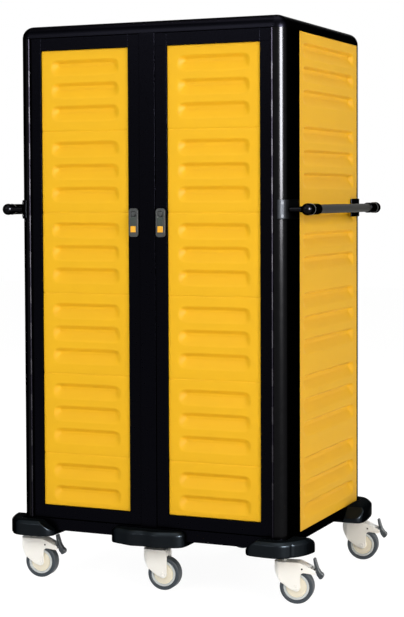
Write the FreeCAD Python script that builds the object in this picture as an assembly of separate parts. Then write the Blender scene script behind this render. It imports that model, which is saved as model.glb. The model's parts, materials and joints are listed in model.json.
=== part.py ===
import FreeCAD, Part
import math
import os
from FreeCAD import Vector

# Enclosed meal tray cart. Millimetres, +Z up, X to the right and Y to the back as the doors are faced.
# Every height of the walls follows from the moulded panel module, which carries three tray runners.

# body
BODY_WIDTH = 886.0
BODY_DEPTH = 706.0
BODY_FOOT_Z = 189.0  # where the wall panels start
MODULE_H = 250.0
MODULES = 6
POST_R = 37.0  # outer rounding of the corner posts, and of the top rails above them
POST_WALL = 4.0
POST_LEG = 90.0  # flat of the front post along the side
REAR_POST_LEG = 2.0
PANEL_SKIN = 4.0  # least wall of the hollow panels
REAR_PANEL_T = 19.0
PANEL_RECESS = 1.0  # how far the panels lie behind the posts
TOP_RAIL_H = 39.0
ROOF_SKIN = 4.0
MULLION_W = 51.0
STOP_W = 4.0  # strip behind each door's edge that it closes on
STOP_T = 14.0

# tray runners pressed into the panels
RIB_PITCH = 70.0
RIB_H = 46.0
RIB_DEPTH = 14.0
RIB_END = 34.0  # plain strip at each end of a rib
RIB_MARGIN = 32.0  # plain strip above a module's first rib
RIBS_PER_MODULE = 3
RIB_END_SLOPE = 18.0  # width of the soft end walls
RIB_FLOOR = 26.0  # height of the slope from the foot to the deepest strip
RIB_BROW = 6.0  # height of the steep upper wall
RIB_CORNER_R = 22.0
RIB_INNER_R = 6.5
RIB_MIN = 5.0
RUNNER_SLOPE = 18.0  # soft lower wall and ends of a runner
RUNNER_SHELF = 3.0  # height of the steep wall that carries the trays
SEAM = 1.2  # line between two modules of a door

# doors
DOOR_T = 35.0
DOOR_SET_BACK = 3.0  # door frame behind the posts' front
DOOR_PANEL_BACK = 5.0  # yellow panel behind the door frame
DOOR_GAP = 1.5
DOOR_FOOT_GAP = 8.0
FRAME_W = 37.5
DOOR_PANEL_T = 26.0
CLOSED_GAP = 0.3  # closed door to its stops

# hinges along the whole door
KNUCKLE_R = 3.2
KNUCKLE_L = 50.0
KNUCKLE_PERIOD = 112.0
KNUCKLE_TOP = 98.0  # plain length above the highest of the door's knuckles
KNUCKLE_GAP = 0.5
HINGE_OUT = 0.3  # barrel in front of the posts
HINGE_PIN_R = 1.6
HINGE_PIN_L = 10.0
PIN_FIT = 0.05
LEAF_W = 30.0
LEAF_GAP = 0.3

# latches
LATCH_W = 30.0
LATCH_H = 86.0
LATCH_T = 8.0
LATCH_FOOT_Z = 1076.5
LATCH_R = 9.0
CHANNEL_W = 18.0
CHANNEL_DEPTH = 6.0
CHANNEL_TOP = 7.0
BOSS_R = 7.0
LEVER_T = 3.8
LEVER_PIN_R = 1.5
LEVER_EYE_R = 2.6
LEVER_DROP = 5.5  # lever's pin under the boss
BUTTON_W = 17.0
BUTTON_H = 18.5
BUTTON_T = 4.5
BUTTON_FOOT = 14.0
LATCH_FIT = 0.5

# push handles
TUBE_R = 13.5
HANDLE_REACH = 59.6  # tube's axis out from the side of the cart
TUBE_Z = 1159.5
SLEEVE_L = 86.0  # ball to where the grey tube comes out
TUBE_WALL = 2.0
COLLAR_R = 16.5
BALL_R = 18.0
BALL_AHEAD = 6.0  # ball in front of the line where the post starts to round
NECK_R = 9.0
CLAMP_H = 58.0
CLAMP_T = 4.5
CLAMP_TAIL = 72.0
CLAMP_SWEEP = 72.0
SCREW_R = 4.5
SCREW_T = 2.0
SCREW_APART = 38.0
SEAT = 0.3  # pieces that wrap another

# chassis and bumpers
SILL_T = 30.0
SILL_FOOT_Z = 159.0
SIDE_SILL_FOOT_Z = 172.0
RAIL_TUBE = 30.0
RAIL_TUBE_H = 18.0
CASTER_PLATE = 58.0
CASTER_PLATE_T = 4.0
BUMPER_FOOT_Z = 143.0
BUMPER_TOP_Z = 190.0
BUMPER_FLANGE_T = 6.0
BUMPER_OUT_X = 62.0
BUMPER_OUT_Y = 47.0
BUMPER_END_X = 145.0  # corner to the end of the lobe ahead of the cart
BUMPER_END_FRONT = 103.0  # and of the lobe beside it, on the front bumpers
BUMPER_END_REAR = 182.0
BUMPER_BEVEL = 10.0
RAMP_L = 60.0  # where a lobe's top slopes down to its end
RAMP_H = 32.0
SIDE_RAMP_L = 38.0
MIDDLE_BUMPER_OUT = 50.0
MIDDLE_BUMPER_HALF = 123.0
NOTCH_R = 9.0

# casters
CASTER_INSET_X = 14.0  # swivel line in from the side, and from the front and the rear
CASTER_INSET_FRONT = 32.0
CASTER_INSET_REAR = 52.0
WHEEL_R = 50.0
WHEEL_W = 32.0
SHOULDER = 4.0
RING_R = 42.0  # where the tyre starts
DISC_R = 34.0
DISC_SINK = 3.0
HUB_W = 34.0
BOSS_T = 4.0
AXLE_R = 5.0
AXLE_FIT = 0.05
TYRE_CLEAR = 4.0
TRAIL = 38.0
FORK_W = 46.0
FORK_ARM_T = 5.0
CROWN_Z = 124.0
CROWN_BACK = 8.0  # how far the flat crown runs past the axle
LEG_R = 12.8  # foot of each leg, round the axle
LEG_TOP_Z = 85.0
ARCH_L = 24.5
ARM_FOOT_Z = 93.3
ARM_R = 7.0
ARM_OPEN_U = 79.0  # where the roof over the brake arm ends
CHEEK = ((17.0, -6.5), (47.0, 14.0), (61.0, 36.0), (68.0, 50.0))  # lower edge, back and up from the axle
STEM_R = 6.5
STEM_IN = 12.0
NOSE = 30.0
PEDAL_PIVOT_U = 90.0
PEDAL_PIVOT_Z = 97.0
PEDAL_PIN_R = 3.0
# outline of the pedal, from its pin: up the front, over the lobe, and back up behind
PEDAL_FRONT = ((3.0, 38.0), (7.0, 24.0), (12.5, 8.0), (20.0, -3.0))
PEDAL_LOBE = ((27.0, -15.0), (16.0, -22.0))
PEDAL_BACK = ((7.5, -11.0), (3.0, 8.0), (-1.0, 24.0), (-3.0, 38.0))
PEDAL_W = 20.0
# swing of each caster from +X towards the back, as they stand in the photograph
CASTERS = (
    ("fl", -1, -1, 6.0, True),
    ("fm", 0, -1, 4.0, False),
    ("fr", 1, -1, 9.0, True),
    ("rl", -1, 1, 7.0, True),
    ("rm", 0, 1, 11.0, False),
    ("rr", 1, 1, 8.0, True),
)

# places that follow from the sizes above
SIDE_X = BODY_WIDTH / 2
FRONT_Y = -BODY_DEPTH / 2
WALL_TOP_Z = BODY_FOOT_Z + MODULES * MODULE_H
TOP_Z = WALL_TOP_Z + TOP_RAIL_H
REAR_Y = -FRONT_Y
POST_IN_X = SIDE_X - POST_R
POST_IN_Y = -FRONT_Y - POST_R
DOOR_FRONT_Y = FRONT_Y + DOOR_SET_BACK
DOOR_BACK_Y = DOOR_FRONT_Y + DOOR_T
STOP_Y = DOOR_BACK_Y + CLOSED_GAP
DOOR_IN_X = MULLION_W / 2 + DOOR_GAP
DOOR_OUT_X = POST_IN_X - 2 * DOOR_GAP
DOOR_FOOT_Z = BODY_FOOT_Z + DOOR_FOOT_GAP
DOOR_TOP_Z = WALL_TOP_Z - DOOR_GAP
HINGE_X = POST_IN_X - DOOR_GAP
HINGE_Y = FRONT_Y - HINGE_OUT - KNUCKLE_R
PANEL_OUT_X = SIDE_X - PANEL_RECESS
REAR_PANEL_Y = -FRONT_Y - PANEL_RECESS - REAR_PANEL_T
RAIL_TUBE_X = SIDE_X - SILL_T
TUBE_X = SIDE_X + HANDLE_REACH
BALL_Y = POST_IN_Y + BALL_AHEAD
TUBE_HALF = BALL_Y - SLEEVE_L
CASTER_X = SIDE_X - CASTER_INSET_X
CASTER_Y = {-1: FRONT_Y + CASTER_INSET_FRONT, 1: REAR_Y - CASTER_INSET_REAR}


def box(x0, x1, y0, y1, z0, z1):
    return Part.makeBox(x1 - x0, y1 - y0, z1 - z0, Vector(x0, y0, z0))


def rod(start, direction, radius, length):
    return Part.makeCylinder(radius, length, Vector(*start), Vector(*direction))


def outline(steps, place):
    """A closed face. Each step is a corner, or a pair of a point on the way and the end of an arc."""
    edges = []
    last = place(*steps[0])
    first = last
    for step in steps[1:]:
        if isinstance(step[0], tuple):
            end = place(*step[1])
            edges.append(Part.Arc(last, place(*step[0]), end).toShape())
        else:
            end = place(*step)
            edges.append(Part.LineSegment(last, end).toShape())
        last = end
    if last.distanceToPoint(first) > 1e-6:
        edges.append(Part.LineSegment(last, first).toShape())
    return Part.Wire(edges)


def plan(steps, z0, z1):
    wire = outline(steps, lambda x, y: Vector(x, y, z0))
    return Part.Face(wire).extrude(Vector(0, 0, z1 - z0))


def profile_along_x(steps, x0, x1):
    wire = outline(steps, lambda y, z: Vector(x0, y, z))
    return Part.Face(wire).extrude(Vector(x1 - x0, 0, 0))


def profile_along_y(steps, y0, y1):
    wire = outline(steps, lambda x, z: Vector(x, y0, z))
    return Part.Face(wire).extrude(Vector(0, y1 - y0, 0))


def mirror_x(shape):
    return shape.mirror(Vector(0, 0, 0), Vector(1, 0, 0))


def mirror_y(shape):
    return shape.mirror(Vector(0, 0, 0), Vector(0, 1, 0))


def four_corners(shape):
    return [shape, mirror_x(shape), mirror_y(shape), mirror_x(mirror_y(shape))]


def turned(shape, degrees):
    turned_shape = shape.copy()
    turned_shape.rotate(Vector(0, 0, 0), Vector(0, 0, 1), degrees)
    return turned_shape


def moved(shape, x, y, z):
    moved_shape = shape.copy()
    moved_shape.translate(Vector(x, y, z))
    return moved_shape


def arc_point(cx, cy, radius, degrees):
    angle = math.radians(degrees)
    return (cx + radius * math.cos(angle), cy + radius * math.sin(angle))


# runner ribs: made for a wall in the XZ plane that faces -Y, with its outer face at y = 0
def rib_outline(x0, x1, z0, z1, radius, y):
    k = radius * (1 - math.sqrt(0.5))
    steps = [
        (x0 + radius, z0),
        (x1 - radius, z0),
        ((x1 - k, z0 + k), (x1, z0 + radius)),
        (x1, z1 - radius),
        ((x1 - k, z1 - k), (x1 - radius, z1)),
        (x0 + radius, z1),
        ((x0 + k, z1 - k), (x0, z1 - radius)),
        (x0, z0 + radius),
        ((x0 + k, z0 + k), (x0 + radius, z0)),
    ]
    return outline(steps, lambda x, z: Vector(x, y, z))


def rib_recess(length):
    """Steep at the top and soft at the foot and the rounded ends, like a louvre."""
    s = RIB_END_SLOPE
    mouth = rib_outline(0, length, 0, RIB_H, RIB_CORNER_R, 0)
    bottom = rib_outline(s, length - s, RIB_FLOOR, RIB_H - RIB_BROW, RIB_INNER_R, RIB_DEPTH)
    return Part.makeLoft([mouth, bottom], True, True)


def frustum(x0, x1, z0, z1, y0, y1):
    """A runner's form, with plain corners, between the depths y0 and y1."""
    near = [(x0, z0), (x1, z0), (x1, z1), (x0, z1)]
    far = [
        (x0 + RUNNER_SLOPE, z0 + RUNNER_SLOPE),
        (x1 - RUNNER_SLOPE, z0 + RUNNER_SLOPE),
        (x1 - RUNNER_SLOPE, z1 - RUNNER_SHELF),
        (x0 + RUNNER_SLOPE, z1 - RUNNER_SHELF),
    ]
    wires = [
        outline(near, lambda x, z: Vector(x, y0, z)),
        outline(far, lambda x, z: Vector(x, y1, z)),
    ]
    return Part.makeLoft(wires, True, True)


def rib_heights(height):
    """Foot of each rib, counted from the top of the wall down, module by module."""
    feet = []
    modules = int(math.ceil(height / MODULE_H))
    for module in range(modules):
        for rib in range(RIBS_PER_MODULE):
            foot = height - module * MODULE_H - RIB_MARGIN - RIB_H - rib * RIB_PITCH
            if foot > RIB_MIN:
                feet.append(foot)
    return feet


def at_heights(shape, x, height):
    return [moved(shape, x, 0, foot) for foot in rib_heights(height)]


def side_panel_flat():
    """Right side panel, laid in the XZ plane: hollow, with the ribs pressed into its outer face."""
    length = 2 * POST_IN_Y - POST_LEG - REAR_POST_LEG
    height = MODULES * MODULE_H
    rib_length = length - 2 * RIB_END
    depth = POST_R - PANEL_RECESS
    w = PANEL_SKIN
    slab = box(0, length, 0, depth, 0, height)
    hollow = box(w, length - w, RIB_DEPTH + w, depth - w, w, height - w)
    return slab.cut([hollow] + at_heights(rib_recess(rib_length), RIB_END, height))


def side_panel_right():
    panel = turned(side_panel_flat(), 90)
    return moved(panel, PANEL_OUT_X, FRONT_Y + POST_LEG + POST_R, BODY_FOOT_Z)


def rear_rib(length):
    """The same rib with straight corners, since nobody sees it as they push the cart."""
    return frustum(0, length, 0, RIB_H, 0, RIB_DEPTH)


def rear_panels():
    height = MODULES * MODULE_H
    length = POST_IN_X - MULLION_W / 2
    panel = box(0, length, 0, REAR_PANEL_T, 0, height)
    panel = panel.cut(at_heights(rear_rib(length - 2 * RIB_END), RIB_END, height))
    panel = moved(turned(panel, 180), POST_IN_X, -FRONT_Y - PANEL_RECESS, BODY_FOOT_Z)
    return Part.makeCompound([panel, mirror_x(panel)])


def centre_divider():
    """Hollow wall between the two compartments."""
    front = STOP_Y + STOP_T
    half = MULLION_W / 2
    w = PANEL_SKIN
    wall = box(-half, half, front, REAR_PANEL_Y, BODY_FOOT_Z, WALL_TOP_Z)
    return wall.cut(box(w - half, half - w, front + w, REAR_PANEL_Y - w, BODY_FOOT_Z + w, WALL_TOP_Z - w))


def tray_runners():
    """Runners of both compartments, behind each rib of the walls and on both faces of the divider."""
    height = MODULES * MODULE_H
    start = FRONT_Y + POST_LEG + POST_R + RIB_END
    rib = frustum(0, POST_IN_Y - REAR_POST_LEG - RIB_END - start, 0, RIB_H, 0, RIB_DEPTH)
    outer = [moved(turned(bar, 90), POST_IN_X, start, BODY_FOOT_Z) for bar in at_heights(rib, 0, height)]
    inner = [moved(mirror_x(bar), POST_IN_X + MULLION_W / 2, 0, 0) for bar in outer]
    return Part.makeCompound(outer + inner + [mirror_x(bar) for bar in outer + inner])


# corner posts
def post_outline(inset, tail):
    """Plan of the front right post: a round nose and a leg of the given length along the side."""
    cx = POST_IN_X
    cy = -POST_IN_Y
    r = POST_R - inset
    steep = math.degrees(math.asin(inset / r))
    nose = arc_point(cx, cy, r, steep - 90)
    return [
        nose,
        (arc_point(cx, cy, r, steep / 2 - 45), (cx + r, cy)),
        (cx + r, cy + tail - inset),
        (cx + inset, cy + tail - inset),
    ]


def front_post_right():
    post = plan(post_outline(0, POST_LEG), BODY_FOOT_Z, WALL_TOP_Z)
    stop = box(POST_IN_X - STOP_W, POST_IN_X, STOP_Y, STOP_Y + STOP_T, BODY_FOOT_Z, WALL_TOP_Z)
    hollow = plan(post_outline(POST_WALL, POST_LEG), BODY_FOOT_Z, WALL_TOP_Z)
    return post.fuse(stop).cut(hollow)


def rear_post_right():
    return mirror_y(plan(post_outline(0, REAR_POST_LEG), BODY_FOOT_Z, WALL_TOP_Z))


def corner_posts():
    posts = [front_post_right(), rear_post_right()]
    return Part.makeCompound(posts + [mirror_x(post) for post in posts])


def front_mullion():
    half = MULLION_W / 2
    steps = [
        (-half, FRONT_Y),
        (half, FRONT_Y),
        (half, STOP_Y),
        (half + STOP_W, STOP_Y),
        (half + STOP_W, STOP_Y + STOP_T),
        (-half - STOP_W, STOP_Y + STOP_T),
        (-half - STOP_W, STOP_Y),
        (-half, STOP_Y),
    ]
    return plan(steps, BODY_FOOT_Z, WALL_TOP_Z)


def rear_mullion():
    half = MULLION_W / 2
    return box(-half, half, REAR_PANEL_Y, -FRONT_Y, BODY_FOOT_Z, WALL_TOP_Z)


# top
def top_rail(length_half, out, along_x):
    """A quarter-round rail whose rounding carries on that of the posts."""
    low = WALL_TOP_Z
    foot = low + TOP_RAIL_H - POST_R
    mid = arc_point(out - POST_R, foot, POST_R, 45)
    steps = [
        (out - POST_R, low),
        (out, low),
        (out, foot),
        (mid, (out - POST_R, TOP_Z)),
    ]
    if along_x:
        return profile_along_x(steps, -length_half, length_half)
    return profile_along_y(steps, -length_half, length_half)


def top_rails():
    side = top_rail(POST_IN_Y, SIDE_X, False)
    rear = top_rail(POST_IN_X, -FRONT_Y, True)
    return Part.makeCompound([side, mirror_x(side), rear, mirror_y(rear)])


def top_corner_caps():
    foot = WALL_TOP_Z + TOP_RAIL_H - POST_R
    corner = Vector(POST_IN_X, -POST_IN_Y, foot)
    ball = Part.makeSphere(POST_R, corner)
    upper = box(POST_IN_X, SIDE_X, FRONT_Y, -POST_IN_Y, foot, TOP_Z)
    cap = ball.common(upper)
    mid = arc_point(POST_IN_X, -POST_IN_Y, POST_R, -45)
    base = [
        (POST_IN_X, FRONT_Y),
        (mid, (SIDE_X, -POST_IN_Y)),
        (POST_IN_X, -POST_IN_Y),
    ]
    cap = cap.fuse(plan(base, WALL_TOP_Z, foot)).removeSplitter()
    return Part.makeCompound(four_corners(cap))


def roof():
    """Hollow roof, with the strip that the doors' top edges close on."""
    w = ROOF_SKIN
    slab = box(-POST_IN_X, POST_IN_X, -POST_IN_Y, POST_IN_Y, WALL_TOP_Z, TOP_Z)
    hollow = box(w - POST_IN_X, POST_IN_X - w, w - POST_IN_Y, POST_IN_Y - w, WALL_TOP_Z + w, TOP_Z - w)
    x0 = MULLION_W / 2 + STOP_W
    strip = box(x0, POST_IN_X - STOP_W, STOP_Y, STOP_Y + STOP_T, DOOR_TOP_Z - STOP_W, WALL_TOP_Z)
    return slab.multiFuse([strip, mirror_x(strip)]).cut(hollow)


# chassis
def base_frame():
    front = box(-SIDE_X + SILL_T, SIDE_X - SILL_T, FRONT_Y, FRONT_Y + SILL_T, SILL_FOOT_Z, BODY_FOOT_Z)
    lip = box(-POST_IN_X, POST_IN_X, FRONT_Y, STOP_Y, BODY_FOOT_Z, DOOR_FOOT_Z - 2 * DOOR_GAP)
    step = box(-POST_IN_X, POST_IN_X, STOP_Y, STOP_Y + STOP_T, BODY_FOOT_Z, DOOR_FOOT_Z + STOP_W)
    side = box(SIDE_X - SILL_T, SIDE_X, -POST_IN_Y, POST_IN_Y, SIDE_SILL_FOOT_Z, BODY_FOOT_Z)
    mid = arc_point(POST_IN_X, -POST_IN_Y, POST_R, -45)
    corner = [
        (POST_IN_X, FRONT_Y),
        (mid, (SIDE_X, -POST_IN_Y)),
        (SIDE_X - SILL_T, -POST_IN_Y),
        (SIDE_X - SILL_T, FRONT_Y + SILL_T),
        (POST_IN_X, FRONT_Y + SILL_T),
    ]
    corner = plan(corner, SILL_FOOT_Z, BODY_FOOT_Z)
    frame = front.multiFuse([mirror_y(front), side, mirror_x(side)] + four_corners(corner))
    posts = Part.makeCompound([front_post_right(), mirror_x(front_post_right()), front_mullion()])
    return frame.multiFuse([lip.cut(posts), step.cut(posts)]).removeSplitter()


def chassis_tubes():
    top = SIDE_SILL_FOOT_Z
    foot = top - RAIL_TUBE_H
    half = RAIL_TUBE / 2
    run = -FRONT_Y - SILL_T
    side = box(RAIL_TUBE_X - half, RAIL_TUBE_X + half, -POST_IN_Y, POST_IN_Y, foot, top)
    inner = RAIL_TUBE_X - half
    cross = box(-inner, inner, -half, half, foot, top)
    end = box(-inner, inner, run - RAIL_TUBE, run, foot, top)
    return side.multiFuse([mirror_x(side), cross, end, mirror_y(end)]).removeSplitter()


def floor_panel():
    x = SIDE_X - SILL_T
    y = -FRONT_Y - SILL_T
    return box(-x, x, -y, y, SIDE_SILL_FOOT_Z, BODY_FOOT_Z)


# bumpers
def body_clearance():
    x = SIDE_X + SEAT
    y = -FRONT_Y + SEAT
    return box(-x, x, -y, y, BUMPER_FOOT_Z + BUMPER_FLANGE_T, BUMPER_TOP_Z + 1)


def spline_wire(points, closing, z):
    curve = Part.BSplineCurve()
    curve.interpolate([Vector(x, y, z) for x, y in points])
    edges = [curve.toShape()]
    last = Vector(points[-1][0], points[-1][1], z)
    for x, y in closing:
        edges.append(Part.LineSegment(last, Vector(x, y, z)).toShape())
        last = Vector(x, y, z)
    edges.append(Part.LineSegment(last, Vector(points[0][0], points[0][1], z)).toShape())
    return Part.Wire(edges)


def set_in(points, distance):
    """The same line of points, moved to its left."""
    moved_points = []
    for i, (x, y) in enumerate(points):
        before = points[max(i - 1, 0)]
        after = points[min(i + 1, len(points) - 1)]
        run = Vector(after[0] - before[0], after[1] - before[1], 0).normalize()
        moved_points.append((x - run.y * distance, y + run.x * distance))
    return moved_points


def bumper_pad(points, closing):
    """Moulded block over the given outline, with its outer top edge cut back."""
    neck = BUMPER_TOP_Z - BUMPER_BEVEL
    outer = spline_wire(points, closing, BUMPER_FOOT_Z)
    block = Part.Face(outer).extrude(Vector(0, 0, neck - BUMPER_FOOT_Z))
    crown = [spline_wire(points, closing, neck)]
    crown.append(spline_wire(set_in(points, BUMPER_BEVEL), closing, BUMPER_TOP_Z))
    return block.fuse(Part.makeLoft(crown, True, True))


def bumper_ramps(far):
    """What comes off above the two ends of a corner bumper, where its top slopes down."""
    x = SIDE_X - BUMPER_END_X
    y = FRONT_Y + far
    top = BUMPER_TOP_Z + 1
    low = BUMPER_TOP_Z - RAMP_H
    ahead = profile_along_y([(x - 1, low), (x + RAMP_L, top), (x - 1, top)], 2 * FRONT_Y, FRONT_Y)
    beside = profile_along_x([(y + 1, low), (y - SIDE_RAMP_L, top), (y + 1, top)], SIDE_X, 2 * SIDE_X)
    return [ahead, beside]


def corner_bumper(axis_y, far):
    """Two lobes, one ahead of the cart and one beside it, with a groove at the corner between them."""
    x = SIDE_X
    y = FRONT_Y
    out = BUMPER_OUT_X
    ahead = BUMPER_OUT_Y
    end = BUMPER_END_X
    points = [
        (x - end, y),
        (x - end * 0.965, y - ahead * 0.45),
        (x - end * 0.84, y - ahead * 0.78),
        (x - end * 0.57, y - ahead * 0.93),
        (x - end * 0.23, y - ahead),
        (x + out * 0.03, y - ahead * 0.86),
        (x + out * 0.36, y - ahead * 0.46),
        (x + out * 0.66, y + far * 0.05),
        (x + out * 0.88, y + far * 0.34),
        (x + out * 0.98, y + far * 0.62),
        (x + out, y + far * 0.82),
        (x + out * 0.9, y + far * 0.95),
        (x + out * 0.6, y + far),
    ]
    inner = RAIL_TUBE_X - CASTER_PLATE / 2 - BUMPER_FLANGE_T
    inner_y = axis_y + CASTER_PLATE / 2 + BUMPER_FLANGE_T
    closing = [(inner, y + far), (inner, inner_y), (x - end, inner_y)]
    pad = bumper_pad(points, closing).cut([body_clearance()] + bumper_ramps(far))
    groove_x = x + out * 0.52
    groove_y = y - ahead * 0.42
    pad = pad.cut(rod((groove_x, groove_y, BUMPER_FOOT_Z - 1), (0, 0, 1), NOTCH_R, 60))
    return pad.cut(rod((CASTER_X, axis_y, BUMPER_FOOT_Z - 1), (0, 0, 1), 3 * STEM_R, 20))


def corner_bumpers():
    front = corner_bumper(CASTER_Y[-1], BUMPER_END_FRONT)
    rear = mirror_y(corner_bumper(-CASTER_Y[1], BUMPER_END_REAR))
    return Part.makeCompound([front, mirror_x(front), rear, mirror_x(rear)])


def middle_bumper(axis_y):
    half = MIDDLE_BUMPER_HALF
    y = FRONT_Y
    out = MIDDLE_BUMPER_OUT
    points = [
        (-half, y),
        (-half * 0.93, y - out * 0.45),
        (-half * 0.6, y - out * 0.8),
        (-half * 0.25, y - out),
        (0, y - out * 0.9),
        (half * 0.25, y - out),
        (half * 0.6, y - out * 0.8),
        (half * 0.93, y - out * 0.45),
        (half, y),
    ]
    inner_y = axis_y + CASTER_PLATE / 2 + BUMPER_FLANGE_T
    pad = bumper_pad(points, [(half, inner_y), (-half, inner_y)]).cut(body_clearance())
    return pad.cut(rod((0, axis_y, BUMPER_FOOT_Z - 1), (0, 0, 1), 3 * STEM_R, 20))


def middle_bumpers():
    return Part.makeCompound([middle_bumper(CASTER_Y[-1]), mirror_y(middle_bumper(-CASTER_Y[1]))])


# doors: made for the right side, hinged at its outer front edge
def door_frame():
    x0 = DOOR_IN_X
    x1 = DOOR_OUT_X
    z0 = DOOR_FOOT_Z + FRAME_W
    z1 = DOOR_TOP_Z - FRAME_W
    y0 = DOOR_FRONT_Y
    y1 = DOOR_BACK_Y
    stiles = [box(x0, x0 + FRAME_W, y0, y1, z0, z1), box(x1 - FRAME_W, x1, y0, y1, z0, z1)]
    rails = [
        box(x0 + FRAME_W, x1 - FRAME_W, y0, y1, DOOR_FOOT_Z, z0),
        box(x0 + FRAME_W, x1 - FRAME_W, y0, y1, z1, DOOR_TOP_Z),
    ]
    return Part.makeCompound(stiles + rails)


def door_corners():
    x0 = DOOR_IN_X
    x1 = DOOR_OUT_X
    pieces = []
    for x in (x0, x1 - FRAME_W):
        for z in (DOOR_FOOT_Z, DOOR_TOP_Z - FRAME_W):
            pieces.append(box(x, x + FRAME_W, DOOR_FRONT_Y, DOOR_BACK_Y, z, z + FRAME_W))
    return Part.makeCompound(pieces)


def door_panel():
    length = DOOR_OUT_X - DOOR_IN_X - 2 * FRAME_W
    height = DOOR_TOP_Z - DOOR_FOOT_Z - 2 * FRAME_W
    panel = box(0, length, 0, DOOR_PANEL_T, 0, height)
    tools = at_heights(rib_recess(length - 2 * RIB_END), RIB_END, height)
    for module in range(1, int(math.ceil(height / MODULE_H))):
        z = height - module * MODULE_H
        tools.append(box(-1, length + 1, -1, SEAM, z - SEAM / 2, z + SEAM / 2))
    panel = panel.cut(tools)
    return moved(panel, DOOR_IN_X + FRAME_W, DOOR_FRONT_Y + DOOR_PANEL_BACK, DOOR_FOOT_Z + FRAME_W)


def knuckle_feet():
    """Foot of each knuckle of the door leaf, evenly spaced down from the highest."""
    highest = DOOR_TOP_Z - KNUCKLE_TOP - KNUCKLE_L
    count = int((highest - DOOR_FOOT_Z) // KNUCKLE_PERIOD) + 1
    return [highest - i * KNUCKLE_PERIOD for i in reversed(range(count))]


def knuckle(z0, z1):
    """Barrel piece with eight flats, as many as the whole length of hinge can afford."""
    ring = [arc_point(HINGE_X, HINGE_Y, KNUCKLE_R, 22.5 + 45 * i) for i in range(8)]
    return plan(ring, z0, z1)


def door_hinge_leaf():
    """Leaf on the door's edge, with every other knuckle of the barrel."""
    leaf = box(DOOR_OUT_X, HINGE_X - LEAF_GAP, HINGE_Y, HINGE_Y + LEAF_W, DOOR_FOOT_Z, DOOR_TOP_Z)
    leaf = leaf.cut([barrel_room(z0, z1) for z0, z1 in fixed_knuckle_spans()])
    leaf = leaf.multiFuse([knuckle(z, z + KNUCKLE_L) for z in knuckle_feet()])
    return leaf.cut([pin for pin in hinge_pins(PIN_FIT)])


def barrel_room(z0, z1):
    r = KNUCKLE_R + HINGE_OUT
    return box(HINGE_X - r, HINGE_X + r, HINGE_Y - r, HINGE_Y + r, z0 - KNUCKLE_GAP, z1 + KNUCKLE_GAP)


def hinge_pins(fit):
    """The two pins that carry a door, in the first and the last knuckle of its leaf."""
    low = knuckle_feet()[0]
    high = knuckle_feet()[-1] + KNUCKLE_L
    r = HINGE_PIN_R + fit
    length = 2 * HINGE_PIN_L + fit
    pins = [rod((HINGE_X, HINGE_Y, low - HINGE_PIN_L), (0, 0, 1), r, length)]
    pins.append(rod((HINGE_X, HINGE_Y, high + HINGE_PIN_L), (0, 0, -1), r, length))
    return pins


def fixed_knuckle_spans():
    feet = knuckle_feet()
    spans = [(DOOR_FOOT_Z, feet[0] - KNUCKLE_GAP)]
    for low, high in zip(feet, feet[1:]):
        spans.append((low + KNUCKLE_L + KNUCKLE_GAP, high - KNUCKLE_GAP))
    spans.append((feet[-1] + KNUCKLE_L + KNUCKLE_GAP, DOOR_TOP_Z))
    return spans


# latches, on the right door's inner stile
def latch_x():
    return DOOR_IN_X + FRAME_W / 2 - 0.5


def latch_body():
    """Rounded housing with a channel for the lever and the button, and a boss at the channel's top."""
    x = latch_x()
    half = LATCH_W / 2
    y0 = DOOR_FRONT_Y - LATCH_T
    body = box(x - half, x + half, y0, DOOR_FRONT_Y, LATCH_FOOT_Z, LATCH_FOOT_Z + LATCH_H)
    upright = [edge for edge in body.Edges if edge.BoundBox.YLength > LATCH_T - 0.1]
    body = body.makeFillet(LATCH_R, upright)
    half_c = CHANNEL_W / 2
    foot = LATCH_FOOT_Z + BUTTON_FOOT - LATCH_FIT
    channel = box(x - half_c, x + half_c, y0 - 1, y0 + CHANNEL_DEPTH, foot, boss_z())
    channel = channel.fuse(rod((x, y0 - 1, boss_z()), (0, 1, 0), half_c, CHANNEL_DEPTH + 1))
    boss = rod((x, y0, boss_z()), (0, 1, 0), BOSS_R, LATCH_T)
    y, z = lever_pivot()
    pin = rod((x - half_c - 1, y, z), (1, 0, 0), LEVER_PIN_R, CHANNEL_W + 2)
    return body.cut(channel).multiFuse([boss, pin])


def boss_z():
    return LATCH_FOOT_Z + LATCH_H - CHANNEL_TOP - CHANNEL_W / 2


def lever_pivot():
    """Depth and height of the lever's pin, under the boss."""
    y = DOOR_FRONT_Y - LATCH_T + LEVER_EYE_R + 0.2
    return (y, boss_z() - BOSS_R - LEVER_DROP)


def latch_lever():
    x = latch_x()
    half = CHANNEL_W / 2 - LATCH_FIT
    y, z = lever_pivot()
    front = DOOR_FRONT_Y - LATCH_T - LATCH_FIT
    foot = LATCH_FOOT_Z + BUTTON_FOOT + BUTTON_H + LATCH_FIT
    lever = box(x - half, x + half, front, front + LEVER_T, foot, z)
    lever = lever.fuse(rod((x - half, y, z), (1, 0, 0), LEVER_EYE_R, 2 * half))
    return lever.cut(rod((x - half - 1, y, z), (1, 0, 0), LEVER_PIN_R + PIN_FIT, 2 * half + 2))


def latch_button():
    x = latch_x()
    y0 = DOOR_FRONT_Y - LATCH_T - 1.5
    z0 = LATCH_FOOT_Z + BUTTON_FOOT
    return box(x - BUTTON_W / 2, x + BUTTON_W / 2, y0, y0 + BUTTON_T, z0, z0 + BUTTON_H)


# push handles, on the right side
def handle_tube():
    tube = rod((TUBE_X, -TUBE_HALF, TUBE_Z), (0, 1, 0), TUBE_R, 2 * TUBE_HALF)
    return tube.cut(rod((TUBE_X, -TUBE_HALF, TUBE_Z), (0, 1, 0), TUBE_R - TUBE_WALL, 2 * TUBE_HALF))


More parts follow.
